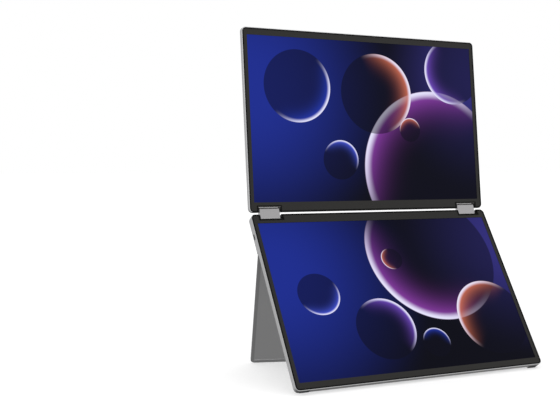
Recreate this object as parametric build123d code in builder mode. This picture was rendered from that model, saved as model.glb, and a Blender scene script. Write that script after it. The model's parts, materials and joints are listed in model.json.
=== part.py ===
"""Dual-screen portable monitor: two slim display panels on a geared double-axis hinge, with a fold-out stand.

Each panel is drawn flat in its own plane. The plane's origin is on the panel's hinge shaft, at the middle of
the panel's width; x runs to the right, z comes out of the screen, and y runs up the panel. The planes are set
in the standing pose, so every piece is made where it stands. +Z is up, the screens face -Y, and the origin is
on the table at the middle of the footprint.
"""
import os
from collections import namedtuple
from math import atan, cos, hypot, pi, radians, sin, tan

from build123d import *

os.makedirs("parts", exist_ok=True)

# Standing pose, in degrees: the slope of each panel above the table
lower_tilt = 56.2
upper_tilt = 84.0

# Screens: picture area and the dark border round it, up to the outer edge of the rubber seal
screen_w = 301.6
screen_h = 188.5
border_side = 5.3
border_far = 7.8
border_near = 10.7

# Panel casings
lower_thick = 9.0
upper_thick = 6.4
lip = 0.7
seal_w = 1.1
seal_proud = 0.5
bezel_t = 0.6
floor_t = 1.2
wall = 2.6
corner_r = 5.0
back_edge_r = 1.5
lip_edge_r = 0.3
display_t = 1.6
display_lap = 2.0
plate_t = 0.6
plate_margin = 1.0

# Hinge blocks and the shafts and pinions inside them
shaft_inset = 3.0
fold_clear = 0.1
shaft_r = 1.1
shaft_play = 0.05
seat_play = 0.01
block_from_side = 24.2
block_w = 24.4
block_wall = 0.55
block_chamfer = 0.4
notch_gap = 1.0
notch_clear = 0.35
cap_w = 4.0
blind_depth = 4.0
pinion_teeth = 10
pinion_w = 12.0
pinion_play = 0.15
tooth_tip_share = 0.12
tooth_root_share = 0.24
tooth_sink_share = 0.25
addendum_share = 0.75
dedendum_share = 1.05
stub_r = 0.8
stub_l = 1.8
stub_play = 0.05

# Brackets that hold the shafts in the panels
boss_r = 1.7
boss_l = 12.0
boss_clear = 0.15
bracket_w = 28.0
bracket_h = 11.0
bracket_t = 1.0
web_back = 0.2
bracket_screw_share = 0.65
bracket_screw_shares = (0.25, 0.8)

# Screws: one small pan-head size throughout
screw_r = 0.8
screw_l = 1.9
screw_head_r = 1.5
screw_head_h = 0.7
screw_play = 0.05
screw_clear = 0.1

# Fold-out stand: its hinge runs slantwise across the back of the lower panel
stand_t = 3.0
stand_top = 47.0
stand_slant = 15.6
stand_near_side = 20.3
stand_far_side = 17.2
stand_gap = 0.4
stand_corner_r = 10.0
stand_edge_r = 0.5
stand_rim = 4.0
stand_pocket = 0.4
foot_drop = 0.5
foot_inset = 0.5

# Stand hinge: two knuckles on leaves inside the lower panel, each with a pin into the stand
knuckle_l = 14.0
knuckle_gap = 0.3
knuckle_from_end = 38.0
leaf_l = 16.0
leaf_t = 1.0
leaf_screw_out = 11.0
leaf_screw_half = 4.0
pin_r = 0.8
pin_grip = 8.0
pin_play = 0.05

# Feet of the lower panel
pad_l = 11.0
pad_from_side = 5.0
pad_h = 3.4
pad_round = 0.4

# Main board, and the sockets and keys along the right-hand side, measured from the hinge edge
board_t = 0.8
board_raise = 0.6
board_near = 9.8
board_far = 133.0
board_wide = 34.8
board_narrow = 10.0
board_from_stand = 10.6
board_side_gap = 1.8
board_boss_r = 2.0
board_screw_in = 3.0
oval_place_1 = 15.2
oval_place_2 = 32.3
oval_place_3 = 49.0
oval_w = 8.94
oval_h = 3.26
oval_wall = 0.3
oval_depth = 7.5
tongue_w = 6.7
tongue_t = 0.7
tongue_l = 5.5
video_place_1 = 67.3
video_place_2 = 109.4
video_w = 11.4
video_round = 0.6
socket_set_in = 0.4
socket_floor = 0.8
socket_clear = 0.15
menu_place = 93.3
menu_l = 8.0
power_place = 125.0
power_l = 12.0
key_h = 2.6
key_proud = 0.3
key_clear = 0.15
key_flange = 0.7
key_flange_t = 0.8
key_gap = 0.15
key_travel = 0.5
switch_w = 4.0
switch_l = 3.2
switch_h = 3.0
plunger_r = 0.7
plunger_l = 0.8
switch_gap = 0.1

# Driver board of the upper screen
driver_w = 170.0
driver_h = 14.0
driver_t = 0.8
driver_raise = 0.4
driver_place = 24.0

# Tripod socket, its locating hole and the lock slot
tripod_place = 51.2
tripod_r = 2.55
tripod_boss_r = 4.2
tripod_flange_r = 5.2
tripod_flange_t = 1.0
tripod_l = 4.5
tripod_play = 0.05
locating_place = 44.2
locating_r = 1.3
locating_depth = 2.0
locating_wall = 0.4
lock_place = 26.2
lock_w = 7.0
lock_h = 2.6
lock_round = 0.65
lock_plate_w = 12.0
lock_plate_h = 4.0
lock_plate_t = 1.5

# One length that every cut runs past its faces
overrun = 2.0

# Sizes that follow from the ones above
panel_w = screen_w + 2 * (border_side + lip)
panel_h = screen_h + border_near + border_far + 2 * lip
half_w = panel_w / 2
panel_mid = panel_h / 2 - shaft_inset
screen_mid = lip + border_near + screen_h / 2 - shaft_inset
inner_x = half_w - wall
block_x = half_w - block_from_side
stand_near_x = half_w - stand_near_side
stand_far_x = half_w - stand_far_side
board_top = floor_t - lower_thick / 2 + board_raise + board_t
port_z = board_top + oval_h / 2
oval_places = (oval_place_1, oval_place_2, oval_place_3)
video_places = (video_place_1, video_place_2)

# Folding panels swing their front edges past each other, so the shafts are as far apart as those edges reach
seal_inset = shaft_inset - lip
lower_corner = max(hypot(shaft_inset, lower_thick / 2), hypot(seal_inset, lower_thick / 2 + seal_proud))
upper_corner = max(hypot(shaft_inset, upper_thick / 2), hypot(seal_inset, upper_thick / 2 + seal_proud))
shaft_gap = lower_corner + upper_corner + fold_clear

# Pinion train: four equal pinions in a row share the distance between the shafts
pinion_r = shaft_gap / 6
module = 2 * pinion_r / pinion_teeth
tip_r = pinion_r + addendum_share * module
root_r = pinion_r - dedendum_share * module
tooth_pitch = pi * module
cavity_l = pinion_w + 2 * pinion_play

# A hinge block is round about its end pinions, and the notch in each panel leaves it room to turn
block_half = tip_r + pinion_play + block_wall
notch_w = block_w + 2 * notch_gap
notch_depth = shaft_inset + block_half + notch_clear

# The stand opens until its foot is level with the feet of the panel
slope = radians(lower_tilt)
slant = radians(stand_slant)
stand_open = 2 * atan(1 / (tan(slope) * cos(slant)))

# The wide part of the main board ends above the stand's hinge, which runs down to the right
board_outer = inner_x - board_side_gap
board_inner = board_outer - board_wide
board_step = stand_top + (board_inner + half_w) * tan(slant) - board_from_stand

# Directions of the lower panel and of the stand, closed and open
right = Vector(1, 0, 0)
lower_up = Vector(0, cos(slope), sin(slope))
lower_out = Vector(0, -sin(slope), cos(slope))
stand_axis = right * cos(slant) - lower_up * sin(slant)
stand_down = -right * sin(slant) - lower_up * cos(slant)
stand_down_open = stand_down * cos(stand_open) - lower_out * sin(stand_open)
stand_face_open = -lower_out * cos(stand_open) - stand_down * sin(stand_open)

# Footprint: the front of the lower seal and the rear end of the stand's foot are equally far from the origin
axis_depth = lower_thick / 2 - stand_t / 2
front_reach = lower_up.Y * (panel_h - shaft_inset - lip) - lower_out.Y * (lower_thick / 2 + seal_proud)
stand_root = lower_up * (shaft_inset - stand_top) - lower_out * axis_depth
strip_across = corner_r + foot_inset
strip_below = panel_h - stand_top + foot_drop
strip_along = strip_across * cos(slant) + strip_below * sin(slant)
strip_down = strip_below * cos(slant) - strip_across * sin(slant)
strip_end = stand_axis * strip_along + stand_down_open * strip_down
rear_reach = (stand_root + strip_end + stand_face_open * (stand_t / 2 - foot_inset)).Y
shaft_y = (front_reach - rear_reach) / 2
shaft_z = lower_up.Z * (panel_h - shaft_inset + foot_drop) + lower_out.Z * (lower_thick / 2 - foot_inset)

# Planes of the lower panel, the hinge blocks, the upper panel and the stand
block_slope = radians((lower_tilt + upper_tilt) / 2)
block_up = Vector(0, cos(block_slope), sin(block_slope))
upper_slope = radians(upper_tilt)
lower_shaft = Vector(0, shaft_y, shaft_z)
upper_shaft = lower_shaft + block_up * shaft_gap
lower_plane = Plane(origin=lower_shaft, x_dir=right, z_dir=lower_out)
upper_plane = Plane(origin=upper_shaft, x_dir=right, z_dir=Vector(0, -sin(upper_slope), cos(upper_slope)))
stand_origin = lower_plane.from_local_coords((-half_w, shaft_inset - stand_top, -axis_depth))
stand_closed_plane = Plane(origin=stand_origin, x_dir=stand_axis, z_dir=-lower_out)
stand_plane = Plane(origin=stand_origin, x_dir=stand_axis, z_dir=stand_face_open)

# A panel's name, its plane, whether y runs away from the hinge (1) or towards it (-1), and its thickness
Panel = namedtuple("Panel", "name plane away thick")
lower_panel = Panel("lower", lower_plane, -1, lower_thick)
upper_panel = Panel("upper", upper_plane, 1, upper_thick)
sides = {"left": -1, "right": 1}


def save(builder, name):
    """Label a finished piece and write it to its own file."""
    builder.part.label = name
    export_step(builder.part, f"parts/{name}.step")


def moved(plane, x, y, z):
    """The plane, moved to a point given in its own axes."""
    return Plane(origin=plane.from_local_coords((x, y, z)), x_dir=plane.x_dir, z_dir=plane.z_dir)


def front_of(panel):
    """Height of the front of a panel's lip above its middle plane."""
    return panel.thick / 2


def floor_of(panel):
    """Height of the inner face of a panel's back wall above its middle plane."""
    return floor_t - panel.thick / 2


def notch_places(panel):
    """Middles of the notches on the hinge edge."""
    return [(side * block_x, -panel.away * shaft_inset) for side in sides.values()]


def draw_outline(panel, inset):
    """Draw a panel's outline into the open sketch, drawn in by inset and notched for the hinge blocks."""
    with Locations((0, panel.away * panel_mid)):
        RectangleRounded(panel_w - 2 * inset, panel_h - 2 * inset, corner_r - inset)
    with Locations(*notch_places(panel)):
        Rectangle(notch_w + 2 * inset, 2 * (notch_depth + inset), mode=Mode.SUBTRACT)


def block_plane(side, along, shaft):
    """Section plane of a hinge block, so far along from its outer end, with z running inwards."""
    start = Vector(side * (block_x + block_w / 2 - along), 0, 0) + shaft
    return Plane(origin=start, x_dir=block_up, z_dir=Vector(-side, 0, 0))


def side_plane(place, height, out):
    """Plane on the right-hand side of the lower panel, a place below the hinge edge, with z pointing out."""
    spot = lower_plane.from_local_coords((half_w + out, shaft_inset - place, height))
    return Plane(origin=spot, x_dir=lower_up, z_dir=right)


def on_stand(x, place):
    """A point of the lower panel's back, in the axes of the stand: x across, place below the hinge edge."""
    across = x + half_w
    below = place - stand_top
    return (
        across * cos(slant) + below * sin(slant),
        below * cos(slant) - across * sin(slant),
    )


def stand_points(hinge_y, grow, past):
    """Corners of the stand's outline: hinge edge at hinge_y, right edge grown, the others pushed past."""
    left_x = -half_w - past
    right_x = stand_near_x + grow
    left_place = stand_top + (hinge_y + (left_x + half_w) * sin(slant)) / cos(slant)
    right_place = stand_top + (hinge_y + (right_x + half_w) * sin(slant)) / cos(slant)
    flare = (stand_far_x - stand_near_x) / (panel_h - right_place)
    return [
        on_stand(left_x, left_place),
        on_stand(right_x, right_place),
        on_stand(stand_far_x + grow + flare * past, panel_h + past),
        on_stand(left_x, panel_h + past),
    ]


def draw_stand(hinge_y, grow, past):
    """Draw the stand's outline into the open sketch, rounded at the inner end of its hinge."""
    corners = stand_points(hinge_y, grow, past)
    Polygon(*corners, align=None)
    near_corner = vertices().sort_by_distance(corners[1])[0]
    fillet(near_corner, stand_corner_r + grow)


def bracket_screws(panel):
    """Places of the bracket screws on a panel's floor."""
    first = block_x - block_w / 2 - notch_gap - wall - boss_clear
    return [
        (side * (first - bracket_w * share), panel.away * bracket_h * bracket_screw_share)
        for side in sides.values()
        for share in bracket_screw_shares
    ]


def board_screws():
    """Places of the board screws, near the corners of the wide part of the main board."""
    across = (board_inner + board_screw_in, board_outer - oval_depth - board_screw_in)
    down = (shaft_inset - board_near - board_screw_in, shaft_inset - board_step + board_screw_in)
    return [(x, y) for x in across for y in down]


def knuckle_places():
    """Middles of the two knuckles along the stand's hinge."""
    hinge_end = stand_points(0, 0, 0)[1][0] - stand_corner_r
    return [knuckle_from_end, hinge_end - knuckle_from_end]


def leaf_screws():
    """Places of the leaf screws on the floor of the lower panel."""
    places = []
    for middle in knuckle_places():
        for step in (-leaf_screw_half, leaf_screw_half):
            spot = stand_closed_plane.from_local_coords((middle + step, -leaf_screw_out, 0))
            flat = lower_plane.to_local_coords(spot)
            places.append((flat.X, flat.Y))
    return places


def shell(panel):
    """A panel's aluminium rear casing: a shallow tub with a lip, notched for the hinge blocks."""
    back = -panel.thick / 2
    front = front_of(panel)
    with BuildPart() as tub:
        with BuildSketch(panel.plane.offset(back)):
            with Locations((0, panel.away * panel_mid)):
                RectangleRounded(panel_w, panel_h, corner_r)
        extrude(amount=panel.thick)
        back_face = tub.faces().sort_by(Axis(panel.plane.origin, panel.plane.z_dir))[0]
        fillet(back_face.edges(), back_edge_r)
        front_face = tub.faces().sort_by(Axis(panel.plane.origin, panel.plane.z_dir))[-1]
        fillet(front_face.edges(), lip_edge_r)
        with BuildSketch(panel.plane.offset(back - overrun)):
            with Locations(*notch_places(panel)):
                Rectangle(notch_w, 2 * notch_depth)
        extrude(amount=panel.thick + 2 * overrun, mode=Mode.SUBTRACT)
        with BuildSketch(panel.plane.offset(front - bezel_t)):
            draw_outline(panel, lip)
        extrude(amount=bezel_t + overrun, mode=Mode.SUBTRACT)
        with BuildSketch(panel.plane.offset(back + floor_t)):
            draw_outline(panel, wall)
        extrude(amount=panel.thick - floor_t, mode=Mode.SUBTRACT)
        for side in sides.values():
            inner_end = block_w + notch_gap + wall
            shaft = panel.plane.origin
            with BuildSketch(block_plane(side, block_w - overrun, shaft)):
                Circle(shaft_r + boss_clear)
            extrude(amount=inner_end - block_w + 2 * overrun, mode=Mode.SUBTRACT)
            with BuildSketch(block_plane(side, inner_end, shaft)):
                Circle(boss_r + boss_clear)
            extrude(amount=boss_l + 2 * boss_clear, mode=Mode.SUBTRACT)
        with BuildSketch(panel.plane.offset(floor_of(panel))):
            with Locations(*bracket_screws(panel)):
                Circle(screw_r + screw_play)
        extrude(amount=bracket_t - screw_l, mode=Mode.SUBTRACT)
    return tub


# Rear casing of the upper panel
upper_cover = shell(upper_panel)
with BuildPart() as upper_rear_cover:
    add(upper_cover.part)
    with BuildSketch(upper_plane.offset(floor_of(upper_panel))):
        with Locations((0, driver_place - shaft_inset)):
            with GridLocations(driver_w / 2, 0, 2, 1):
                Circle(board_boss_r)
    extrude(amount=driver_raise)
save(upper_rear_cover, "upper_rear_cover")

# Rear casing of the lower panel: recess for the stand, side openings, tripod hole and board bosses
lower_tub = shell(lower_panel)
with BuildPart() as lower_rear_cover:
    add(lower_tub.part)
    lower_back = -lower_thick / 2
    recess_depth = stand_t + stand_gap
    recess_hinge = stand_t / 2 + stand_gap
    with BuildSketch(lower_plane.offset(lower_back)):
        with Locations((0, shaft_inset - locating_place)):
            Circle(locating_r + locating_wall)
    extrude(amount=locating_depth + floor_t)
    with BuildSketch(lower_plane.offset(floor_of(lower_panel))):
        with Locations(*board_screws()):
            Circle(board_boss_r)
    extrude(amount=board_raise)
    with BuildSketch(stand_closed_plane.offset(stand_t / 2 - back_edge_r)):
        draw_stand(-recess_hinge - floor_t, stand_gap + floor_t, -wall / 2)
    extrude(amount=back_edge_r - recess_depth - floor_t)
    with BuildSketch(stand_closed_plane.offset(stand_t / 2 + overrun)):
        draw_stand(-recess_hinge, stand_gap, overrun)
    extrude(amount=-overrun - recess_depth, mode=Mode.SUBTRACT)
    for middle in knuckle_places():
        window = moved(stand_closed_plane, middle, -stand_t / 2 - stand_gap - floor_t / 2, 0)
        leaf_low = stand_t / 2 - floor_t
        with BuildSketch(window.offset(leaf_low)):
            Rectangle(knuckle_l + 2 * knuckle_gap, floor_t + 2 * overrun)
        extrude(amount=-leaf_t - knuckle_gap, mode=Mode.SUBTRACT)
    with BuildSketch(lower_plane.offset(lower_back - overrun)):
        with Locations((0, shaft_inset - tripod_place)):
            Circle(tripod_boss_r + tripod_play)
    extrude(amount=floor_t + 2 * overrun, mode=Mode.SUBTRACT)
    with BuildSketch(lower_plane.offset(lower_back - overrun)):
        with Locations((0, shaft_inset - locating_place)):
            Circle(locating_r)
    extrude(amount=locating_depth + overrun, mode=Mode.SUBTRACT)
    for screw_x, screw_y in board_screws():
        with BuildSketch(moved(lower_plane, screw_x, screw_y, board_top - board_t)):
            Circle(screw_r + screw_play)
        extrude(amount=board_t - screw_l, mode=Mode.SUBTRACT)
    for screw_x, screw_y in leaf_screws():
        with BuildSketch(moved(lower_plane, screw_x, screw_y, floor_of(lower_panel))):
            Circle(screw_r + screw_play)
        extrude(amount=leaf_t - screw_l, mode=Mode.SUBTRACT)
    for place in oval_places:
        with BuildSketch(side_plane(place, port_z, overrun)):
            SlotOverall(oval_w + 2 * socket_clear, oval_h + 2 * socket_clear)
        extrude(amount=-wall - 2 * overrun, mode=Mode.SUBTRACT)
    for place in video_places:
        with BuildSketch(side_plane(place, port_z, overrun)):
            RectangleRounded(video_w + 2 * socket_clear, oval_h + 2 * socket_clear, video_round)
        extrude(amount=-wall - 2 * overrun, mode=Mode.SUBTRACT)
    for place, length in ((menu_place, menu_l), (power_place, power_l)):
        with BuildSketch(side_plane(place, port_z, overrun)):
            SlotOverall(length + 2 * key_clear, key_h + 2 * key_clear)
        extrude(amount=-wall - 2 * overrun, mode=Mode.SUBTRACT)
    lock_spot = moved(lower_plane, -half_w - overrun, shaft_inset - lock_place, port_z)
    with BuildSketch(Plane(origin=lock_spot.origin, x_dir=lower_up, z_dir=right)):
        RectangleRounded(lock_w, lock_h, lock_round)
    extrude(amount=wall + 2 * overrun, mode=Mode.SUBTRACT)
save(lower_rear_cover, "lower_rear_cover")


def seal_ring(panel):
    """Rubber seal round the front of a panel; it stands proud, so that closed screens don't touch."""
    with BuildPart() as ring:
        with BuildSketch(panel.plane.offset(front_of(panel) - bezel_t)):
            draw_outline(panel, lip)
        extrude(amount=bezel_t + seal_proud)
        with BuildSketch(panel.plane.offset(front_of(panel) - bezel_t - overrun)):
            draw_outline(panel, lip + seal_w)
        extrude(amount=bezel_t + seal_proud + 2 * overrun, mode=Mode.SUBTRACT)
    return ring


def bezel_frame(panel):
    """Flat dark frame round the picture."""
    with BuildPart() as frame:
        with BuildSketch(panel.plane.offset(front_of(panel) - bezel_t)):
            draw_outline(panel, lip + seal_w)
            with Locations((0, panel.away * screen_mid)):
                Rectangle(screen_w, screen_h, mode=Mode.SUBTRACT)
        extrude(amount=bezel_t)
    return frame


def display_sheet(panel, margin, depth, thickness):
    """A flat sheet behind the bezel, so far wider than the picture and so deep behind the bezel's back."""
    with BuildPart() as sheet:
        with BuildSketch(panel.plane.offset(front_of(panel) - bezel_t - depth - thickness)):
            with Locations((0, panel.away * screen_mid)):
                Rectangle(screen_w + 2 * margin, screen_h + 2 * margin)
        extrude(amount=thickness)
    return sheet


def hinge_bracket(panel, side):
    """Steel bracket on a panel's floor, with the boss that holds the shaft fast."""
    first = block_x - block_w / 2 - notch_gap - wall - boss_clear
    floor = floor_of(panel)
    plate_y = panel.away * (bracket_h / 2 - web_back)
    shaft = panel.plane.origin
    boss_start = block_w + notch_gap + wall + boss_clear
    with BuildPart() as bracket:
        with BuildSketch(panel.plane.offset(floor)):
            with Locations((side * (first - bracket_w / 2), plate_y)):
                Rectangle(bracket_w, bracket_h)
        extrude(amount=bracket_t)
        with BuildSketch(panel.plane.offset(floor)):
            with Locations((side * (first - boss_l / 2), panel.away * (boss_r - web_back) / 2)):
                Rectangle(boss_l, boss_r + web_back)
        extrude(amount=-floor)
        with BuildSketch(block_plane(side, boss_start, shaft)):
            Circle(boss_r)
        extrude(amount=boss_l)
        with BuildSketch(block_plane(side, boss_start - overrun, shaft)):
            Circle(shaft_r + seat_play)
        extrude(amount=boss_l + 2 * overrun, mode=Mode.SUBTRACT)
        with BuildSketch(panel.plane.offset(floor - overrun)):
            with Locations(*[place for place in bracket_screws(panel) if place[0] * side > 0]):
                Circle(screw_r + screw_clear)
        extrude(amount=bracket_t + 2 * overrun, mode=Mode.SUBTRACT)
    return bracket


def draw_pinion(turn):
    """Draw a pinion's section into the open sketch: straight-sided stub teeth, thinned for backlash."""
    root_half = tooth_root_share * tooth_pitch
    tip_half = tooth_tip_share * tooth_pitch
    sink = tooth_sink_share * root_r
    Circle(root_r)
    with PolarLocations(root_r, pinion_teeth, start_angle=turn):
        Polygon(
            (-sink, -root_half),
            (tip_r - root_r, -tip_half),
            (tip_r - root_r, tip_half),
            (-sink, root_half),
            align=None,
        )


# Half a tooth pitch, in degrees, turns a tooth into a gap; every second pinion starts with a gap
half_pitch = 180 / pinion_teeth
pinion_start = block_w - cap_w - cavity_l + pinion_play
shaft_start = block_w - cap_w - cavity_l - blind_depth + pinion_play
shaft_end = block_w + notch_gap + wall + boss_clear + boss_l


def hinge_shaft(panel, side, turn):
    """Steel shaft with its pinion: it turns in the hinge block and is held fast in the panel's bracket."""
    with BuildPart() as shaft:
        with BuildSketch(block_plane(side, shaft_start, panel.plane.origin)):
            Circle(shaft_r)
        extrude(amount=shaft_end - shaft_start)
        with BuildSketch(block_plane(side, pinion_start, panel.plane.origin)):
            draw_pinion(turn)
        extrude(amount=pinion_w)
    return shaft


def idler_pinion(side, order, turn):
    """Small pinion between the two shafts, on stub axles in the hinge block."""
    centre = lower_shaft + block_up * (order * 2 * pinion_r)
    with BuildPart() as idler:
        with BuildSketch(block_plane(side, pinion_start, centre)):
            draw_pinion(turn)
        extrude(amount=pinion_w)
        with BuildSketch(block_plane(side, pinion_start - stub_l, centre)):
            Circle(stub_r)
        extrude(amount=pinion_w + 2 * stub_l)
    return idler


def draw_block():
    """Draw a hinge block's section into the open sketch: flat between the shafts and round about them."""
    with Locations((shaft_gap / 2, 0)):
        SlotCenterToCenter(shaft_gap, 2 * block_half)


def draw_bores(radius, first_order, step):
    """Draw two round bores into the open sketch, on places of the pinion train."""
    with Locations(*[(2 * pinion_r * (first_order + step * index), 0) for index in range(2)]):
        Circle(radius)


def hinge_block(side):
    """Housing of one double hinge, open at its inner end for the pinions."""
    body_l = block_w - cap_w
    cavity_start = body_l - cavity_l
    with BuildPart() as block:
        with BuildSketch(block_plane(side, 0, lower_shaft)):
            draw_block()
        extrude(amount=body_l)
        outer_end = block.faces().sort_by(Axis.X, reverse=side > 0)[0]
        chamfer(outer_end.edges(), block_chamfer)
        with BuildSketch(block_plane(side, cavity_start, lower_shaft)):
            with Locations((shaft_gap / 2, 0)):
                SlotCenterToCenter(shaft_gap, 2 * (tip_r + pinion_play))
        extrude(amount=cavity_l + overrun, mode=Mode.SUBTRACT)
        with BuildSketch(block_plane(side, cavity_start - blind_depth, lower_shaft)):
            draw_bores(shaft_r + shaft_play, 0, 3)
        extrude(amount=blind_depth + overrun, mode=Mode.SUBTRACT)
        with BuildSketch(block_plane(side, cavity_start - stub_l, lower_shaft)):
            draw_bores(stub_r + stub_play, 1, 1)
        extrude(amount=stub_l + overrun, mode=Mode.SUBTRACT)
    return block


def hinge_cap(side):
    """Cover that closes a hinge block; the shafts run out through it."""
    body_l = block_w - cap_w
    with BuildPart() as cap:
        with BuildSketch(block_plane(side, body_l, lower_shaft)):
            draw_block()
        extrude(amount=cap_w)
        inner_end = cap.faces().sort_by(Axis.X, reverse=side < 0)[0]
        chamfer(inner_end.edges(), block_chamfer)
        with BuildSketch(block_plane(side, body_l - overrun, lower_shaft)):
            draw_bores(shaft_r + shaft_play, 0, 3)
        extrude(amount=cap_w + 2 * overrun, mode=Mode.SUBTRACT)
        with BuildSketch(block_plane(side, body_l - overrun, lower_shaft)):
            draw_bores(stub_r + stub_play, 1, 1)
        extrude(amount=stub_l + overrun, mode=Mode.SUBTRACT)
    return cap


# Seals, bezels, displays, backing plates, brackets and shafts of both panels
for panel, turn in ((lower_panel, 0), (upper_panel, half_pitch)):
    save(seal_ring(panel), f"{panel.name}_seal")
    save(bezel_frame(panel), f"{panel.name}_bezel")
    save(display_sheet(panel, display_lap, 0, display_t), f"{panel.name}_display")
    save(display_sheet(panel, display_lap - plate_margin, display_t, plate_t), f"{panel.name}_backing_plate")
    for side_name, side in sides.items():
        save(hinge_bracket(panel, side), f"{panel.name}_bracket_{side_name}")
        save(hinge_shaft(panel, side, turn), f"{panel.name}_shaft_{side_name}")

# Hinge blocks, their caps and the idler pinions
for side_name, side in sides.items():
    save(hinge_block(side), f"hinge_block_{side_name}")
    save(hinge_cap(side), f"hinge_cap_{side_name}")
    save(idler_pinion(side, 1, half_pitch), f"lower_idler_{side_name}")
    save(idler_pinion(side, 2, 0), f"upper_idler_{side_name}")


def screw_group(plane, seats):
    """Pan-head screws, each standing on a seat given as x, y and height in the plane's axes."""
    with BuildPart() as screws:
        for x, y, height in seats:
            with BuildSketch(moved(plane, x, y, height)):
                Circle(screw_head_r)
            extrude(amount=screw_head_h)
            with BuildSketch(moved(plane, x, y, height)):
                Circle(screw_r)
            extrude(amount=-screw_l)
    return screws


# Screws: brackets in both panels, and the board and the stand's leaves in the lower one
upper_seat = floor_of(upper_panel) + bracket_t
lower_seat = floor_of(lower_panel) + bracket_t
leaf_seat = floor_of(lower_panel) + leaf_t
upper_screws = screw_group(upper_plane, [(x, y, upper_seat) for x, y in bracket_screws(upper_panel)])
lower_screws = screw_group(lower_plane, [(x, y, lower_seat) for x, y in bracket_screws(lower_panel)])
board_fixings = screw_group(lower_plane, [(x, y, board_top) for x, y in board_screws()])
leaf_fixings = screw_group(lower_plane, [(x, y, leaf_seat) for x, y in leaf_screws()])
save(upper_screws, "upper_bracket_screws")
save(lower_screws, "lower_bracket_screws")
save(board_fixings, "board_screws")
save(leaf_fixings, "stand_leaf_screws")

# Main board: a wide part near the hinge and a narrow tongue beside the stand's recess
with BuildPart() as main_board:
    with BuildSketch(lower_plane.offset(board_top - board_t)):
        with Locations((board_outer, shaft_inset - board_near)):
            Rectangle(board_wide, board_step - board_near, align=(Align.MAX, Align.MAX))
            Rectangle(board_narrow, board_far - board_near, align=(Align.MAX, Align.MAX))
        with Locations(*board_screws()):
            Circle(screw_r + screw_clear, mode=Mode.SUBTRACT)
    extrude(amount=board_t)
save(main_board, "main_board")

# Driver board of the upper screen
with BuildPart() as driver_board:
    with BuildSketch(upper_plane.offset(floor_of(upper_panel) + driver_raise)):
        with Locations((0, driver_place - shaft_inset)):
            Rectangle(driver_w, driver_h)
    extrude(amount=driver_t)
save(driver_board, "driver_board")

# Oval sockets: a thin metal shell with a tongue inside
for number, place in enumerate(oval_places, start=1):
    with BuildPart() as oval_socket:
        with BuildSketch(side_plane(place, port_z, -socket_set_in)):
            SlotOverall(oval_w, oval_h)
        extrude(amount=-oval_depth)
        with BuildSketch(side_plane(place, port_z, -socket_set_in)):
            SlotOverall(oval_w - 2 * oval_wall, oval_h - 2 * oval_wall)
        extrude(amount=socket_floor - oval_depth, mode=Mode.SUBTRACT)
        with BuildSketch(side_plane(place, port_z, -socket_set_in - oval_depth + socket_floor)):
            Rectangle(tongue_w, tongue_t)
        extrude(amount=tongue_l)
    save(oval_socket, f"oval_socket_{number}")

# Video sockets: a wider flat shell
for number, place in enumerate(video_places, start=1):
    with BuildPart() as video_socket:
        with BuildSketch(side_plane(place, port_z, -socket_set_in)):
            RectangleRounded(video_w, oval_h, video_round)
        extrude(amount=-oval_depth)
        with BuildSketch(side_plane(place, port_z, -socket_set_in)):
            Rectangle(video_w - 2 * video_round, oval_h - 2 * oval_wall)
        extrude(amount=socket_floor - oval_depth, mode=Mode.SUBTRACT)
        with BuildSketch(side_plane(place, port_z, -socket_set_in - oval_depth + socket_floor)):
            Rectangle(tongue_w, tongue_t)
        extrude(amount=tongue_l)
    save(video_socket, f"video_socket_{number}")

# Menu key and power button: a cap through the side wall, a flange behind it, and a switch on the board
for key_name, place, length in (("menu_key", menu_place, menu_l), ("power_button", power_place, power_l)):
    flange_out = -wall - key_gap
    with BuildPart() as key:
        with BuildSketch(side_plane(place, port_z, key_proud)):
            SlotOverall(length, key_h)
        extrude(amount=flange_out - key_proud)
        with BuildSketch(side_plane(place, port_z, flange_out)):
            SlotOverall(length + 2 * key_flange, key_h + 2 * key_flange - key_clear)
        extrude(amount=-key_flange_t)
        key_face = key.faces().sort_by(Axis.X)[-1]
        fillet(key_face.edges(), key_proud - key_clear)
    save(key, key_name)
    plunger_out = flange_out - key_flange_t - key_travel - switch_gap
    switch_mid = board_top + switch_h / 2
    with BuildPart() as switch:
        with BuildSketch(side_plane(place, switch_mid, plunger_out - plunger_l)):
            Rectangle(switch_w, switch_h)
        extrude(amount=-switch_l)
        with BuildSketch(side_plane(place, port_z, plunger_out - plunger_l)):
            Circle(plunger_r)
        extrude(amount=plunger_l)
    save(switch, f"{key_name}_switch")

# Tripod nut: a flanged insert, its end flush with the back
with BuildPart() as tripod_nut:
    nut_plane = moved(lower_plane, 0, shaft_inset - tripod_place, -lower_thick / 2)
    with BuildSketch(nut_plane):
        Circle(tripod_boss_r)
    extrude(amount=tripod_l)
    with BuildSketch(nut_plane.offset(floor_t)):
        Circle(tripod_flange_r)
    extrude(amount=tripod_flange_t)
    with BuildSketch(nut_plane.offset(-overrun)):
        Circle(tripod_r)
    extrude(amount=tripod_l + 2 * overrun, mode=Mode.SUBTRACT)
save(tripod_nut, "tripod_nut")

# Steel plate behind the lock slot
with BuildPart() as lock_plate:
    lock_inside = moved(lower_plane, -inner_x, shaft_inset - lock_place, port_z)
    lock_side = Plane(origin=lock_inside.origin, x_dir=lower_up, z_dir=right)
    with BuildSketch(lock_side):
        Rectangle(lock_plate_w, lock_plate_h)
        RectangleRounded(lock_w, lock_h, lock_round, mode=Mode.SUBTRACT)
    extrude(amount=lock_plate_t)
save(lock_plate, "lock_plate")

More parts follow.
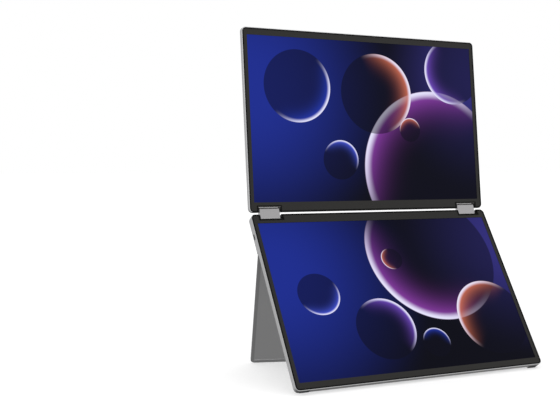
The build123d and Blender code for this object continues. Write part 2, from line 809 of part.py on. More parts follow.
# Rubber pads under the bottom edge
with BuildPart() as bottom_pads:
    edge_y = shaft_inset - panel_h
    pad_mid_x = half_w - pad_from_side - pad_l / 2
    for side, clear in ((1, 0), (-1, recess_depth)):
        with BuildSketch(lower_plane.offset(clear + foot_inset - lower_thick / 2)):
            with Locations((side * pad_mid_x, edge_y)):
                RectangleRounded(pad_l, foot_drop * 2, pad_round)
            with Locations((side * pad_mid_x, edge_y + foot_drop)):
                Rectangle(pad_l, foot_drop * 2, mode=Mode.SUBTRACT)
        extrude(amount=pad_h)
save(bottom_pads, "bottom_pads")

# Stand: a flat plate with a rounded hinge edge, cut away for the knuckles and rounded like the casing below
with BuildPart() as stand_plate:
    with BuildSketch(stand_plane.offset(-stand_t / 2)):
        draw_stand(0, 0, 0)
        for corner in stand_points(0, 0, 0)[2:]:
            fillet(vertices().sort_by_distance(corner)[0], corner_r)
    extrude(amount=stand_t)
    outer_face = stand_plate.faces().sort_by(Axis(stand_plane.origin, stand_plane.z_dir))[-1]
    free_edges = [
        edge for edge in outer_face.edges() if stand_plane.to_local_coords(edge.center()).Y > stand_t
    ]
    fillet(free_edges, stand_edge_r)
    hinge_end = stand_points(0, 0, 0)[1][0] - stand_corner_r
    with BuildSketch(Plane(origin=stand_plane.origin, x_dir=stand_plane.y_dir, z_dir=stand_plane.x_dir)):
        Circle(stand_t / 2)
    extrude(amount=hinge_end)
    with BuildSketch(stand_plane.offset(-stand_t / 2)):
        draw_stand(stand_rim, -stand_rim, -stand_rim)
    extrude(amount=stand_pocket, mode=Mode.SUBTRACT)
    for middle in knuckle_places():
        with BuildSketch(moved(stand_plane, middle, 0, -stand_t / 2 - overrun)):
            Rectangle(knuckle_l + 2 * knuckle_gap, stand_t + 2 * knuckle_gap)
        extrude(amount=stand_t + 2 * overrun, mode=Mode.SUBTRACT)
        bore_start = moved(stand_plane, middle - knuckle_l / 2 - pin_grip, 0, 0)
        with BuildSketch(Plane(origin=bore_start.origin, x_dir=stand_plane.y_dir, z_dir=stand_plane.x_dir)):
            Circle(pin_r + seat_play)
        extrude(amount=knuckle_l + 2 * pin_grip, mode=Mode.SUBTRACT)
save(stand_plate, "stand_plate")

# Hinge pins of the stand
with BuildPart() as stand_pins:
    for middle in knuckle_places():
        pin_start = moved(stand_plane, middle - knuckle_l / 2 - pin_grip, 0, 0)
        with BuildSketch(Plane(origin=pin_start.origin, x_dir=stand_plane.y_dir, z_dir=stand_plane.x_dir)):
            Circle(pin_r)
        extrude(amount=knuckle_l + 2 * pin_grip)
save(stand_pins, "stand_pins")

# Knuckles of the stand hinge, each on a leaf that lies on the floor of the lower panel
for number, middle in enumerate(knuckle_places(), start=1):
    with BuildPart() as leaf:
        start = moved(stand_closed_plane, middle - knuckle_l / 2, 0, 0)
        with BuildSketch(Plane(origin=start.origin, x_dir=start.y_dir, z_dir=start.x_dir)):
            Circle(stand_t / 2)
        extrude(amount=knuckle_l)
        leaf_top = moved(stand_closed_plane, middle, 0, stand_t / 2 - floor_t)
        with BuildSketch(leaf_top):
            Rectangle(knuckle_l, leaf_l, align=(Align.CENTER, Align.MAX))
        extrude(amount=-leaf_t)
        bore = moved(stand_closed_plane, middle - knuckle_l / 2 - overrun, 0, 0)
        with BuildSketch(Plane(origin=bore.origin, x_dir=start.y_dir, z_dir=start.x_dir)):
            Circle(pin_r + pin_play)
        extrude(amount=knuckle_l + 2 * overrun, mode=Mode.SUBTRACT)
        for step in (-leaf_screw_half, leaf_screw_half):
            with BuildSketch(moved(stand_closed_plane, middle + step, -leaf_screw_out, overrun)):
                Circle(screw_r + screw_clear)
            extrude(amount=-stand_t - 2 * overrun, mode=Mode.SUBTRACT)
    save(leaf, f"stand_leaf_{number}")

# Rubber strip along the foot of the stand
with BuildPart() as stand_foot:
    strip_left = strip_across - half_w
    strip_right = stand_far_x - corner_r - foot_inset
    with BuildSketch(stand_plane.offset(foot_inset - stand_t / 2)):
        Polygon(
            on_stand(strip_left, panel_h),
            on_stand(strip_right, panel_h),
            on_stand(strip_right, panel_h + foot_drop),
            on_stand(strip_left, panel_h + foot_drop),
            align=None,
        )
    extrude(amount=stand_t - 2 * foot_inset)
save(stand_foot, "stand_foot")
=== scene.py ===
"""Finish of a dual-screen portable monitor, laid over its packed construction.

The sections follow the order in which the monitor is put together, from the parts inside the panels
out to the casings, the hinge, the stand and the feet. The studio and the camera come last.
"""
import json
from math import cos, radians, sin

import bpy
from mathutils import Matrix, Vector


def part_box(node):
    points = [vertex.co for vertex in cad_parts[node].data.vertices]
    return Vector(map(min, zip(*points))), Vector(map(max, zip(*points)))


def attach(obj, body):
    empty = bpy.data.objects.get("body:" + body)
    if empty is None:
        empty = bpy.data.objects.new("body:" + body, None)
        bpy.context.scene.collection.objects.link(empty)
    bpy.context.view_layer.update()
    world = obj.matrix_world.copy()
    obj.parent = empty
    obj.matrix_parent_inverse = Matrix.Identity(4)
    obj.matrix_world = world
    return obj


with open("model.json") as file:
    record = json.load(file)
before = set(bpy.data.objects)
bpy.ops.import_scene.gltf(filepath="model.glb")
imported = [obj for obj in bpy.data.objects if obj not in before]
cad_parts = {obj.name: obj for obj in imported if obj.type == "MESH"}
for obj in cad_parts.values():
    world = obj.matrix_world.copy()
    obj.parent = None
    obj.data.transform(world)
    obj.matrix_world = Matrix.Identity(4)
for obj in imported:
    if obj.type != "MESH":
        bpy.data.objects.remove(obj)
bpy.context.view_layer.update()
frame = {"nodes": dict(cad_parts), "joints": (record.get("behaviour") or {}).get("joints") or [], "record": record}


# Backing plates
# A thin sheet of rolled alloy stiffens the back of each display. It is glued to the display,
# and the rear casing closes over it.
class Tone:
    """An output of a node. Sums and products of tones add Math nodes to the same tree."""

    def __init__(self, nodes, socket):
        self.nodes = nodes
        self.socket = socket

    def maths(self, operation, first, second):
        return self.nodes.node("ShaderNodeMath", {"operation": operation}, {0: first, 1: second})

    def __add__(self, other):
        return self.maths("ADD", self, other)

    def __radd__(self, other):
        return self.maths("ADD", other, self)

    def __sub__(self, other):
        return self.maths("SUBTRACT", self, other)

    def __rsub__(self, other):
        return self.maths("SUBTRACT", other, self)

    def __mul__(self, other):
        return self.maths("MULTIPLY", self, other)

    def __rmul__(self, other):
        return self.maths("MULTIPLY", other, self)

    def __truediv__(self, other):
        return self.maths("DIVIDE", self, other)

    def __rtruediv__(self, other):
        return self.maths("DIVIDE", other, self)

    def __pow__(self, other):
        return self.maths("POWER", self, other)

    def __rpow__(self, other):
        return self.maths("POWER", other, self)

    def __abs__(self):
        return self.maths("ABSOLUTE", self, 0)

    def at_least(self, floor):
        return self.maths("MAXIMUM", self, floor)


class Nodes:
    """A tree of nodes, with one method that adds any of them."""

    def __init__(self, tree):
        self.tree = tree

    def node(self, kind, settings, inputs, output=0):
        """Add a node, apply its settings, then set or link its sockets, and return one of its outputs."""
        added = self.tree.nodes.new(kind)
        for name, value in settings.items():
            if name == "stops":
                while len(added.color_ramp.elements) < len(value):
                    added.color_ramp.elements.new(1)
                for element, (place, shade) in zip(added.color_ramp.elements, value):
                    element.position = place
                    element.color = shade
            else:
                setattr(added, name, value)
        self.join(added, inputs)
        return Tone(self, added.outputs[output])

    def join(self, added, inputs):
        for key, value in inputs.items():
            if isinstance(value, Tone):
                self.tree.links.new(value.socket, added.inputs[key])
            else:
                added.inputs[key].default_value = value


class Finish(Nodes):
    """The nodes of a material, or of the studio's surroundings, and the shader that they feed."""

    def __init__(self, owner, shader):
        owner.use_nodes = True
        super().__init__(owner.node_tree)
        self.owner = owner
        self.shader = self.tree.nodes[shader]

    def feed(self, **inputs):
        """Set or link sockets of the shader. An underscore stands for a space in a socket's name."""
        self.join(self.shader, {name.replace("_", " "): value for name, value in inputs.items()})

    def place(self):
        """The point on the piece, in metres, in the frame of the whole part."""
        return self.node("ShaderNodeTexCoord", {}, {}, "Object")

    def stretched(self, scale):
        """The point on the piece, with each axis scaled, so that a grain runs along one of them."""
        return self.node("ShaderNodeMapping", {}, {"Vector": self.place(), "Scale": scale})

    def along(self, origin, direction):
        """How far the point on the piece lies from an origin in a direction, in metres."""
        offset = self.node("ShaderNodeVectorMath", {"operation": "SUBTRACT"}, {0: self.place(), 1: origin})
        factors = {0: offset, 1: direction}
        return self.node("ShaderNodeVectorMath", {"operation": "DOT_PRODUCT"}, factors, "Value")

    def noise(self, place, scale, detail):
        """Cloudy grain from 0 to 1."""
        return self.node("ShaderNodeTexNoise", {}, {"Vector": place, "Scale": scale, "Detail": detail})

    def step(self, value, low, high):
        """A smooth rise from 0 at low to 1 at high, or a fall if low is the larger."""
        limits = {"Value": value, "From Min": low, "From Max": high}
        return self.node("ShaderNodeMapRange", {"interpolation_type": "SMOOTHSTEP"}, limits)

    def mix(self, share, first, second):
        """The first colour, turned into the second by a share from 0 to 1."""
        return self.node("ShaderNodeMix", {"data_type": "RGBA"}, {0: share, 6: first, 7: second}, 2)

    def bump(self, height, depth):
        """Raise the surface by a height from 0 to 1 times a depth in metres."""
        self.feed(Normal=self.node("ShaderNodeBump", {}, {"Height": height, "Distance": depth}))


def finish_named(name, **settings):
    """A new material. Settings that are the same all over go straight onto its shader's sockets."""
    finish = Finish(bpy.data.materials.new(name), "Principled BSDF")
    finish.feed(**settings)
    return finish


def rgb(red, green, blue):
    return (red, green, blue, 1.0)


def dress(finish, *names):
    """Give construction pieces a finish."""
    for name in names:
        for slot in frame["nodes"][name].material_slots:
            slot.material = finish.owner


rolled_alloy = finish_named("rolled_alloy", Metallic=1.0)
rolling = rolled_alloy.noise(rolled_alloy.stretched((40, 2500, 2500)), scale=1.0, detail=3.0)
rolled_alloy.feed(
    Base_Color=rolled_alloy.mix(rolling, rgb(0.42, 0.42, 0.43), rgb(0.58, 0.58, 0.59)),
    Roughness=0.3 + 0.25 * rolling,
)
dress(rolled_alloy, "upper_backing_plate", "lower_backing_plate")


# Circuit boards
# Glass-fibre laminate under green solder mask. The main board carries the sockets and the key switches and
# is screwed to bosses of its casing. The driver board feeds the upper display and is glued to two bosses.
solder_mask = finish_named("solder_mask", Coat_Weight=0.4, Coat_Roughness=0.15)
tracks = solder_mask.node(
    "ShaderNodeTexBrick",
    {"offset": 0.5, "squash": 0.6, "squash_frequency": 3},
    {"Vector": solder_mask.place(), "Scale": 90.0, "Mortar Size": 0.025, "Mortar Smooth": 0.2},
    "Fac",
)
weave = solder_mask.noise(solder_mask.place(), scale=900.0, detail=2.0)
bare_mask = solder_mask.mix(weave, rgb(0.008, 0.060, 0.026), rgb(0.014, 0.085, 0.038))
solder_mask.feed(
    Base_Color=solder_mask.mix(0.7 * tracks, bare_mask, rgb(0.045, 0.190, 0.080)),
    Roughness=0.35 + 0.15 * weave,
)
solder_mask.bump(tracks, depth=0.00004)
dress(solder_mask, "main_board", "driver_board")


# Brackets, stand leaves and lock plate
# Pressed steel strips, zinc plated, that hold the hinge shafts and the stand, and back up the lock slot.
# Each is screwed or glued to the floor of its casing.
zinc_plate = finish_named("zinc_plate", Metallic=1.0)
spangle = zinc_plate.node(
    "ShaderNodeTexVoronoi", {}, {"Vector": zinc_plate.place(), "Scale": 700.0}, "Color"
)
zinc_plate.feed(
    Base_Color=zinc_plate.mix(0.3, rgb(0.46, 0.46, 0.48), spangle),
    Roughness=0.32 + 0.2 * zinc_plate.noise(zinc_plate.place(), scale=400.0, detail=3.0),
)
dress(
    zinc_plate,
    *[f"{panel}_bracket_{side}" for panel in ("lower", "upper") for side in ("left", "right")],
    "stand_leaf_1",
    "stand_leaf_2",
    "lock_plate",
)


# Shafts, pinions and pins
# Steel bar, ground round about the hinge axes, with the pinion teeth cut into it.
# The shafts are pressed into the brackets, and the pins into the stand.
ground_steel = finish_named("ground_steel", Metallic=1.0)
grinding = ground_steel.noise(ground_steel.stretched((9000, 300, 300)), scale=1.0, detail=2.0)
ground_steel.feed(
    Base_Color=ground_steel.mix(grinding, rgb(0.30, 0.30, 0.31), rgb(0.46, 0.46, 0.47)),
    Roughness=0.2 + 0.2 * grinding,
)
ground_steel.bump(grinding, depth=0.000004)
dress(
    ground_steel,
    *[
        f"{place}_{kind}_{side}"
        for place in ("lower", "upper")
        for kind in ("shaft", "idler")
        for side in ("left", "right")
    ],
    "stand_pins",
)


# Screws
# Small pan-head screws, turned from steel and zinc plated. They fasten the brackets, the main board and
# the stand's leaves to the casings.
screw_steel = finish_named("screw_steel", Metallic=1.0)
scuff = screw_steel.noise(screw_steel.place(), scale=1800.0, detail=4.0)
screw_steel.feed(
    Base_Color=screw_steel.mix(scuff, rgb(0.26, 0.26, 0.27), rgb(0.42, 0.42, 0.43)),
    Roughness=0.25 + 0.3 * scuff,
)
dress(screw_steel, "upper_bracket_screws", "lower_bracket_screws", "board_screws", "stand_leaf_screws")


# Displays
# Each display is a thin bonded stack of glass and film that shows a lit picture, with a faint satin front.
# The picture is made up for this part: lit discs over a blue glow that fades into the dark.
mounts = {mount["name"]: mount for mount in frame["record"]["mounts"]}
right = Vector((1, 0, 0))
lower_out = -Vector(mounts["tripod_socket"]["axis"])
upper_out = -Vector(mounts["upper_back"]["axis"])
lower_up = lower_out.cross(right)
upper_up = upper_out.cross(right)

royal = rgb(0.020, 0.050, 0.520)
violet = rgb(0.330, 0.060, 0.480)
ember = rgb(0.780, 0.200, 0.110)
iris = rgb(0.210, 0.085, 0.650)
azure = rgb(0.070, 0.110, 0.800)
rim_light = rgb(0.800, 0.790, 0.980)
disc_shade = rgb(0.0015, 0.0015, 0.008)
night = rgb(0.0012, 0.0013, 0.0050)
blue_glow = rgb(0.011, 0.025, 0.270)
dusk_glow = rgb(0.030, 0.026, 0.190)

# Middle, outer and inner reach of each glow, in heights of the picture, and its colour
glows = (
    ((-0.80, 0.18), 1.05, 0.10, blue_glow),
    ((0.88, 0.30), 0.80, 0.05, dusk_glow),
)

# Middle and radius of each disc, in heights of the picture, the bearing of its light, and its colour
upper_discs = (
    ((-0.47, 0.20), 0.22, 318, royal),
    ((0.46, -0.30), 0.50, 128, violet),
    ((0.07, 0.17), 0.25, 20, ember),
    ((0.64, 0.33), 0.21, 205, iris),
    ((-0.20, -0.24), 0.12, 62, azure),
    ((0.30, -0.05), 0.075, 100, ember),
)
lower_discs = (
    ((0.30, 0.24), 0.44, 232, violet),
    ((-0.16, -0.22), 0.19, 40, iris),
    ((0.58, -0.20), 0.24, 140, ember),
    ((-0.52, 0.02), 0.13, 300, azure),
    ((0.14, -0.33), 0.09, 75, royal),
    ((0.02, 0.22), 0.07, 190, ember),
)

# Shares of a disc's radius, towards its light: where its lit side begins and where it is lit in full
dusk_share = -0.10
lit_share = 0.95

# Shares of a disc's radius, from its middle: where its pale crescent starts and where its edge begins to blur
crescent_share = 0.88
edge_share = 0.985

# How much a disc hides of what lies behind it, and how steeply its glow rises towards its edge
disc_cover = 0.65
glow_power = 4


def distance(across, up, spot):
    """How far a point of the picture lies from a spot, in heights of the picture."""
    off_x = across - spot[0]
    off_y = up - spot[1]
    return (off_x * off_x + off_y * off_y) ** 0.5


def lit_disc(glass, picture, across, up, middle, radius, bearing, colour):
    """Lay a disc over the picture: shaded within, and glowing towards a pale crescent at its lit edge."""
    reach = distance(across, up, middle) / radius
    toward = cos(radians(bearing)) * (across - middle[0]) + sin(radians(bearing)) * (up - middle[1])
    inside = glass.step(reach, 1.0, edge_share)
    lean = glass.step(toward / radius, dusk_share, lit_share)
    shaded = glass.mix(disc_cover * inside, picture, disc_shade)
    glowing = glass.mix(inside * lean * reach**glow_power, shaded, colour)
    crescent = glass.step(reach, crescent_share, edge_share)
    return glass.mix(inside * lean * crescent, glowing, rim_light)


def lit_picture(name, up_direction, discs):
    """Glass with the picture behind it, on the display of that name."""
    low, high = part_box(name)
    middle = (low + high) / 2
    height = (high - low).dot(Vector(map(abs, up_direction)))
    glass = finish_named(
        f"{name}_glass",
        Base_Color=rgb(0.002, 0.002, 0.003),
        Specular_IOR_Level=0.04,
        Emission_Strength=1.0,
    )
    across = glass.along(middle, right / height)
    up = glass.along(middle, up_direction / height)
    picture = night
    for spot, outer, inner, colour in glows:
        picture = glass.mix(glass.step(distance(across, up, spot), outer, inner), picture, colour)
    for disc in discs:
        picture = lit_disc(glass, picture, across, up, *disc)
    haze = glass.noise(glass.place(), scale=2500.0, detail=1.0)
    glass.feed(Emission_Color=picture, Roughness=0.22 + 0.06 * haze)
    dress(glass, name)


lit_picture("lower_display", lower_up, lower_discs)
lit_picture("upper_display", upper_up, upper_discs)


# Bezels
# A flat moulded frame round each picture, in dark grey plastic with a fine spark-eroded grain.
# It is glued to the display and the casing's wall.
bezel_plastic = finish_named("bezel_plastic", Specular_IOR_Level=0.2)
spark_grain = bezel_plastic.noise(bezel_plastic.place(), scale=3200.0, detail=2.0)
bezel_plastic.feed(
    Base_Color=bezel_plastic.mix(spark_grain, rgb(0.0145, 0.0140, 0.0130), rgb(0.0225, 0.0218, 0.0205)),
    Roughness=0.48 + 0.18 * spark_grain,
)
bezel_plastic.bump(spark_grain, depth=0.000012)
dress(bezel_plastic, "upper_bezel", "lower_bezel")


# Seals
# A black rubber cord set into the gap between bezel and casing. It stands proud of both, so that closed
# screens can't scratch each other.
def grey(level):
    return rgb(level, level, level)


seal_rubber = finish_named("seal_rubber", Specular_IOR_Level=0.1)
seal_bloom = seal_rubber.noise(seal_rubber.place(), scale=1200.0, detail=3.0)
seal_rubber.feed(
    Base_Color=seal_rubber.mix(seal_bloom, grey(0.0020), grey(0.0050)),
    Roughness=0.6 + 0.25 * seal_bloom,
)
seal_rubber.bump(seal_bloom, depth=0.00002)
dress(seal_rubber, "upper_seal", "lower_seal")


# Rear casings
# Each panel's back and side walls are one tub milled from aluminium, bead blasted and anodised silver.
# Painted shade makes its walls darker than its back and darkens it at the hinge; its front lip is polished.
joints = {joint["name"]: joint for joint in frame["joints"]}
lower_shaft = Vector(joints["link_turn"]["pos_m"])
upper_shaft = Vector(joints["screen_turn"]["pos_m"])
anodised_dark = rgb(0.590, 0.590, 0.595)
anodised_light = rgb(0.635, 0.635, 0.640)
# Painted shade: the side walls take a darker colour than the back
wall_shade_colour = rgb(0.400, 0.400, 0.405)
polished_lip = rgb(0.780, 0.780, 0.785)
# Painted shade for the edge along the hinge and the notches, and a lighter one for the upper notch's end
hinge_shade_colour = grey(0.020)
upper_end_shade_colour = rgb(0.100, 0.095, 0.095)

# The tub's lip and corners, and the room that its notches leave beside and behind a hinge block, in metres
lip = 0.0007
corner_r = 0.005
notch_gap = 0.0010
notch_clear = 0.00035
block_low, block_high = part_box("hinge_block_right")
cap_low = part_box("hinge_cap_right")[0]
block_half = (block_high.z - block_low.z - (upper_shaft - lower_shaft).z) / 2
notch_mid = (cap_low.x + block_high.x) / 2
notch_half = (block_high.x - cap_low.x) / 2 + notch_gap
notch_reach = block_half + notch_clear

# Painted shade covers the whole width of the lip beside a shaded face, and fades out just past it
shade_full = 1.2 * lip
shade_ends = 1.4 * lip


def casing_finish(panel, shaft, inward, outward, end_shade):
    """Blasted silver for the tub of a panel, which reaches inward from its shaft and faces outward."""
    tub = frame["nodes"][f"{panel}_rear_cover"].data
    depths = [(vertex.co - shaft).dot(inward) for vertex in tub.vertices]
    near = min(depths)
    far = max(depths)
    half_deep = (far - near) / 2
    half_wide = max(vertex.co.x for vertex in tub.vertices)
    half_thick = max((vertex.co - shaft).dot(outward) for vertex in tub.vertices)
    silver = finish_named(f"{panel}_casing_silver", Metallic=1.0)
    blasting = silver.noise(silver.place(), scale=3600.0, detail=2.0)
    clouds = silver.noise(silver.place(), scale=14.0, detail=2.0)
    across = abs(silver.along(shaft, right))
    deep = silver.along(shaft, inward)
    forward = silver.along(shaft, outward)
    past_side = (across - (half_wide - corner_r)).at_least(0)
    past_end = (abs(deep - (far - half_deep)) - (half_deep - corner_r)).at_least(0)
    rounding = (past_side * past_side + past_end * past_end) ** 0.5
    walled = silver.step(rounding, corner_r - 0.8 * lip, corner_r - 0.2 * lip)
    polished = silver.step(forward, half_thick - 0.3 * lip, half_thick - 0.1 * lip)
    off_back = silver.step(forward, 0.2 * lip - half_thick, 0.6 * lip - half_thick)
    # Painted shade darkens the front half of the edge along the hinge, and the notches for the blocks
    front_half = silver.step(forward, -0.2 * lip, 0.2 * lip)
    by_hinge = silver.step(deep, near + shade_ends, near + shade_full)
    beside_notch = silver.step(abs(across - notch_mid), notch_half + shade_ends, notch_half + shade_full)
    before_end = silver.step(deep, notch_reach + shade_ends, notch_reach + shade_full)
    at_end = silver.step(deep, notch_reach - 0.4 * lip, notch_reach - 0.2 * lip)
    painted = 1 - (1 - front_half * by_hinge) * (1 - off_back * beside_notch * before_end)
    blasted = silver.mix(clouds, anodised_dark, anodised_light)
    # Painted shade darkens the side walls
    shaded = silver.mix(walled, blasted, wall_shade_colour)
    edged = silver.mix(polished, shaded, polished_lip)
    # Painted shade at a notch's end: fully dark on the lower panel, lighter on the upper
    hinge_shade = silver.mix(at_end, hinge_shade_colour, end_shade)
    silver.feed(
        Base_Color=silver.mix(painted, edged, hinge_shade),
        Roughness=0.34 + 0.1 * blasting + 0.04 * clouds - 0.12 * polished,
    )
    silver.bump(blasting, depth=0.000008)
    dress(silver, f"{panel}_rear_cover")


casing_finish("lower", lower_shaft, -lower_up, lower_out, hinge_shade_colour)
casing_finish("upper", upper_shaft, upper_up, upper_out, upper_end_shade_colour)


# Hinge blocks
# Two housings hold the geared shafts between the panels. They are aluminium, brushed along their length
# and anodised, and each is closed by a cap of the same make.
hinge_satin = finish_named("hinge_satin", Metallic=1.0)
brushing = hinge_satin.noise(hinge_satin.stretched((120, 5200, 5200)), scale=1.0, detail=3.0)
hinge_satin.feed(
    Base_Color=hinge_satin.mix(brushing, rgb(0.405, 0.398, 0.405), rgb(0.500, 0.492, 0.500)),
    Roughness=0.28 + 0.16 * brushing,
)
hinge_satin.bump(brushing, depth=0.000006)
dress(hinge_satin, *[f"hinge_{kind}_{side}" for kind in ("block", "cap") for side in ("left", "right")])


# Stand
# A flat plate of the casing's aluminium, hinged slantwise across the lower back, with a shallow pocket
# milled into its inner face. Painted light makes the pocket brighter than the plate.
stand_half = 0.0015
pocket_depth = 0.0004
# Painted light: a brighter colour for the pocket than for the plate
pocket_light_colour = rgb(0.800, 0.800, 0.805)
stand_joint = joints["kickstand_turn"]
swing = Matrix.Rotation(-radians(stand_joint["range_deg"][0]), 3, stand_joint["axis"])
stand_out = swing @ -lower_out
stand_silver = finish_named("stand_silver", Metallic=1.0)
stand_blasting = stand_silver.noise(stand_silver.place(), scale=3600.0, detail=2.0)
stand_clouds = stand_silver.noise(stand_silver.place(), scale=16.0, detail=2.0)
inward = stand_silver.along(Vector(stand_joint["pos_m"]), -stand_out)
inner = stand_silver.step(inward, 0.0, pocket_depth)
rim = stand_silver.step(inward, stand_half - 0.7 * pocket_depth, stand_half - 0.3 * pocket_depth)
plate = stand_silver.mix(stand_clouds, anodised_dark, anodised_light)
# The pocket, inside its rim, takes the painted light
stand_silver.feed(
    Base_Color=stand_silver.mix(inner - rim, plate, pocket_light_colour),
    Roughness=0.36 + 0.1 * stand_blasting + 0.04 * stand_clouds,
)
stand_silver.bump(stand_blasting, depth=0.000008)
dress(stand_silver, "stand_plate")


# Sockets
# Drawn steel shells, nickel plated, set a little inside the casing's openings and soldered to the main board.
# Each has a tongue with a row of gold-plated contacts along both of its faces.
socket_nickel = finish_named("socket_nickel", Metallic=1.0)
plating = socket_nickel.noise(socket_nickel.place(), scale=900.0, detail=3.0)
socket_nickel.feed(
    Base_Color=socket_nickel.mix(plating, grey(0.10), grey(0.16)),
    Roughness=0.3 + 0.2 * plating,
)
sockets = [f"oval_socket_{number}" for number in (1, 2, 3)] + [f"video_socket_{number}" for number in (1, 2)]
dress(socket_nickel, *sockets)


class Shape(Nodes):
    """A tree of geometry nodes with named sizes, which grows a piece that is then baked into a plain mesh."""

    def __init__(self, name, sizes):
        super().__init__(bpy.data.node_groups.new(name, "GeometryNodeTree"))
        self.values = {}
        face = self.tree.interface
        face.new_socket("Points", in_out="INPUT", socket_type="NodeSocketGeometry")
        face.new_socket("Piece", in_out="OUTPUT", socket_type="NodeSocketGeometry")
        for label, value in sizes.items():
            kind = "NodeSocketInt" if isinstance(value, int) else "NodeSocketFloat"
            added = face.new_socket(label, in_out="INPUT", socket_type=kind)
            self.values[added.identifier] = value
        self.entry = self.tree.nodes.new("NodeGroupInput")

    def given(self, label):
        """One of the tree's inputs: a named size, or the points to grow on."""
        return Tone(self, self.entry.outputs[label])

    def grown(self, name, points, geometry, finish):
        """Bake the geometry, in a finish, into a new object that holds no modifier."""
        realised = self.node("GeometryNodeRealizeInstances", {}, {"Geometry": geometry})
        painted = self.node("GeometryNodeSetMaterial", {}, {"Geometry": realised, "Material": finish.owner})
        self.join(self.tree.nodes.new("NodeGroupOutput"), {"Piece": painted})
        mesh = bpy.data.meshes.new(name)
        mesh.from_pydata(points, [], [])
        piece = bpy.data.objects.new(name, mesh)
        bpy.context.scene.collection.objects.link(piece)
        grower = piece.modifiers.new("grow", "NODES")
        grower.node_group = self.tree
        for identifier, value in self.values.items():
            grower[identifier] = value
        evaluated = piece.evaluated_get(bpy.context.evaluated_depsgraph_get())
        piece.data = bpy.data.meshes.new_from_object(evaluated)
        piece.modifiers.clear()
        # A solid that a node makes brings an empty material slot of its own
        if piece.data.materials[0] is None:
            piece.data.materials.pop(index=0)
        return piece


# From the inner end of a socket to the middle of its contacts
contact_depth = 0.0039
contact_rows = Shape(
    "contact_rows",
    {"Contacts": 12, "Pitch": 0.0005, "Width": 0.00026, "Proud": 0.00005, "Length": 0.0036, "Tongue": 0.0007},
)
row_length = contact_rows.given("Pitch") * (contact_rows.given("Contacts") - 1)
row_grid = contact_rows.node(
    "GeometryNodeMeshGrid",
    {},
    {
        "Size X": row_length,
        "Size Y": contact_rows.given("Tongue"),
        "Vertices X": contact_rows.given("Contacts"),
        "Vertices Y": 2,
    },
)
contact_size = contact_rows.node(
    "ShaderNodeCombineXYZ",
    {},
    {
        "X": contact_rows.given("Width"),
        "Y": 2 * contact_rows.given("Proud"),
        "Z": contact_rows.given("Length"),
    },
)
contact = contact_rows.node("GeometryNodeMeshCube", {}, {"Size": contact_size})
rows = contact_rows.node("GeometryNodeInstanceOnPoints", {}, {"Points": row_grid, "Instance": contact})
all_rows = contact_rows.node(
    "GeometryNodeInstanceOnPoints", {}, {"Points": contact_rows.given("Points"), "Instance": rows}
)
gold = finish_named("contact_gold", Metallic=1.0)
wiping = gold.noise(gold.stretched((200, 4000, 4000)), scale=1.0, detail=2.0)
gold.feed(
    Base_Color=gold.mix(wiping, rgb(0.62, 0.42, 0.14), rgb(0.78, 0.55, 0.21)),
    Roughness=0.2 + 0.15 * wiping,
)
socket_turn = Matrix((lower_up, lower_out, right)).transposed()
contact_places = []
for socket in sockets:
    low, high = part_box(socket)
    middle = (low + high) / 2
    middle.x = low.x + contact_depth
    contact_places.append(socket_turn.transposed() @ middle)
contacts = contact_rows.grown("socket_contacts", contact_places, all_rows, gold)
contacts.data.transform(socket_turn.to_4x4())
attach(contacts, "lower_panel")


# Keys and their switches
# The menu key is moulded plastic and the power button machined aluminium. Both slide in openings of the
# side wall and press small sealed switches on the main board.
menu_plastic = finish_named("menu_plastic", Specular_IOR_Level=0.4)
menu_grain = menu_plastic.noise(menu_plastic.place(), scale=2600.0, detail=2.0)
menu_plastic.feed(
    Base_Color=menu_plastic.mix(menu_grain, rgb(0.34, 0.34, 0.35), rgb(0.42, 0.42, 0.43)),
    Roughness=0.4 + 0.15 * menu_grain,
)
menu_plastic.bump(menu_grain, depth=0.00001)
dress(menu_plastic, "menu_key")
button_silver = finish_named("button_silver", Metallic=1.0)
turning = button_silver.noise(button_silver.stretched((400, 4200, 4200)), scale=1.0, detail=2.0)
button_silver.feed(
    Base_Color=button_silver.mix(turning, rgb(0.68, 0.68, 0.69), rgb(0.76, 0.76, 0.77)),
    Roughness=0.24 + 0.14 * turning,
)
dress(button_silver, "power_button")
switch_plastic = finish_named("switch_plastic", Specular_IOR_Level=0.35)
switch_grain = switch_plastic.noise(switch_plastic.place(), scale=2200.0, detail=2.0)
switch_plastic.feed(
    Base_Color=switch_plastic.mix(switch_grain, grey(0.018), rgb(0.032, 0.032, 0.033)),
    Roughness=0.45 + 0.2 * switch_grain,
)
dress(switch_plastic, "menu_key_switch", "power_button_switch")


# Tripod nut
# A turned brass nut, blackened, with a flange inside the casing. Its thread is a ridge that winds round the
# bore.
nut_black = finish_named("nut_black", Metallic=1.0)
blackening = nut_black.noise(nut_black.place(), scale=1500.0, detail=3.0)
nut_black.feed(
    Base_Color=nut_black.mix(blackening, rgb(0.035, 0.033, 0.030), rgb(0.075, 0.070, 0.062)),
    Roughness=0.35 + 0.2 * blackening,
)
dress(nut_black, "tripod_nut")
tripod = mounts["tripod_socket"]
thread_axis = Vector(tripod["axis"])
thread_height = 0.0041
thread_pitch = 0.00127
thread = Shape(
    "thread",
    {
        "Turns": thread_height / thread_pitch,
        "Bore": tripod["dims"]["r_mm"] / 1000,
        "Height": thread_height,
        "Ridge": 0.0002,
    },
)
winding = thread.node(
    "GeometryNodeCurveSpiral",
    {},
    {
        "Resolution": 48,
        "Rotations": thread.given("Turns"),
        "Start Radius": thread.given("Bore"),
        "End Radius": thread.given("Bore"),
        "Height": thread.given("Height"),
    },
)
crest = thread.node(
    "GeometryNodeCurvePrimitiveCircle", {}, {"Resolution": 4, "Radius": thread.given("Ridge")}
)
ridge = thread.node(
    "GeometryNodeCurveToMesh", {}, {"Curve": winding, "Profile Curve": crest, "Fill Caps": True}
)
nut_thread = thread.grown("nut_thread", [], ridge, nut_black)
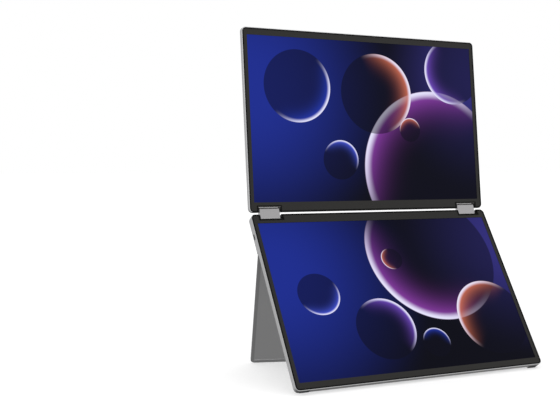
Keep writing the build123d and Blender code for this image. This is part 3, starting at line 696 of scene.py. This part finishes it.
thread_turn = Matrix((right, thread_axis.cross(right), thread_axis)).transposed()
thread_start = Vector(tripod["pos_m"]) - thread_axis * (thread_height / 2)
nut_thread.data.transform(Matrix.Translation(thread_start) @ thread_turn.to_4x4())
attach(nut_thread, "lower_panel")


# Feet
# Dark rubber pads under the lower panel, and a strip along the stand's lower edge. They are moulded and
# glued on, and keep the monitor from sliding.
foot_rubber = finish_named("foot_rubber", Specular_IOR_Level=0.25)
moulding = foot_rubber.noise(foot_rubber.place(), scale=1500.0, detail=3.0)
foot_rubber.feed(
    Base_Color=foot_rubber.mix(moulding, rgb(0.030, 0.030, 0.031), rgb(0.050, 0.050, 0.052)),
    Roughness=0.6 + 0.25 * moulding,
)
foot_rubber.bump(moulding, depth=0.00003)
dress(foot_rubber, "bottom_pads", "stand_foot")


# Studio
# A plain pale floor that runs to the horizon, a wide soft light from above, and pale surroundings that
# darken overhead and below, as a tent of white cloth does.
floor_half = 40.0
floor_paper = finish_named(
    "floor_paper",
    Specular_IOR_Level=0.0,
    Emission_Color=grey(1.0),
    Emission_Strength=0.45,
)
fibres = floor_paper.noise(floor_paper.place(), scale=60.0, detail=3.0)
floor_paper.feed(
    Base_Color=floor_paper.mix(fibres, grey(0.58), grey(0.60)),
    Roughness=0.8 + 0.1 * fibres,
)
floor_corners = [(x * floor_half, y * floor_half, 0) for x, y in ((-1, -1), (1, -1), (1, 1), (-1, 1))]
floor_mesh = bpy.data.meshes.new("studio_floor")
floor_mesh.from_pydata(floor_corners, [], [(0, 1, 2, 3)])
floor_mesh.materials.append(floor_paper.owner)
floor = bpy.data.objects.new("studio_floor", floor_mesh)
floor.visible_glossy = False
bpy.context.scene.collection.objects.link(floor)

surroundings = Finish(bpy.data.worlds.new("studio_tent"), "Background")
bpy.context.scene.world = surroundings.owner
direction = surroundings.node("ShaderNodeTexCoord", {}, {}, "Generated")
rise = surroundings.node("ShaderNodeSeparateXYZ", {}, {"Vector": direction}, "Z")
tent_stops = (
    (0.00, grey(0.14)),
    (0.06, grey(0.17)),
    (0.22, grey(0.58)),
    (0.38, grey(1.00)),
    (0.70, grey(1.00)),
    (0.82, grey(0.70)),
    (1.00, grey(0.40)),
)
tent = surroundings.node("ShaderNodeValToRGB", {"stops": tent_stops}, {"Fac": 0.5 + 0.5 * rise})
surroundings.feed(Color=tent, Strength=1.0)

sun = bpy.data.lights.new("soft_light", "SUN")
sun.energy = 1.6
sun.angle = radians(120)
light = bpy.data.objects.new("soft_light", sun)
light.rotation_euler = (radians(15), radians(-10), 0)
light.visible_glossy = False
bpy.context.scene.collection.objects.link(light)
bpy.context.scene.view_settings.view_transform = "Standard"


# Camera
# It stands off the lower hinge shaft, a little above it, to the left of the screens. Its offset is in
# metres and its angles are in degrees.
image_w = 560
camera_offset = Vector((-0.58385, -1.00525, 0.05541))
camera_azimuth = -27.09
camera_elevation = 2.39
focal_pixels = 988.5
frame_shift_pixels = 40
lens = bpy.data.cameras.new("camera")
lens.sensor_fit = "HORIZONTAL"
lens.sensor_width = 36
lens.lens = lens.sensor_width * focal_pixels / image_w
lens.shift_x = -frame_shift_pixels / image_w
camera = bpy.data.objects.new("camera", lens)
camera.location = lower_shaft + camera_offset
camera.rotation_euler = (radians(90 - camera_elevation), 0, radians(camera_azimuth))
bpy.context.scene.collection.objects.link(camera)
bpy.context.scene.camera = camera
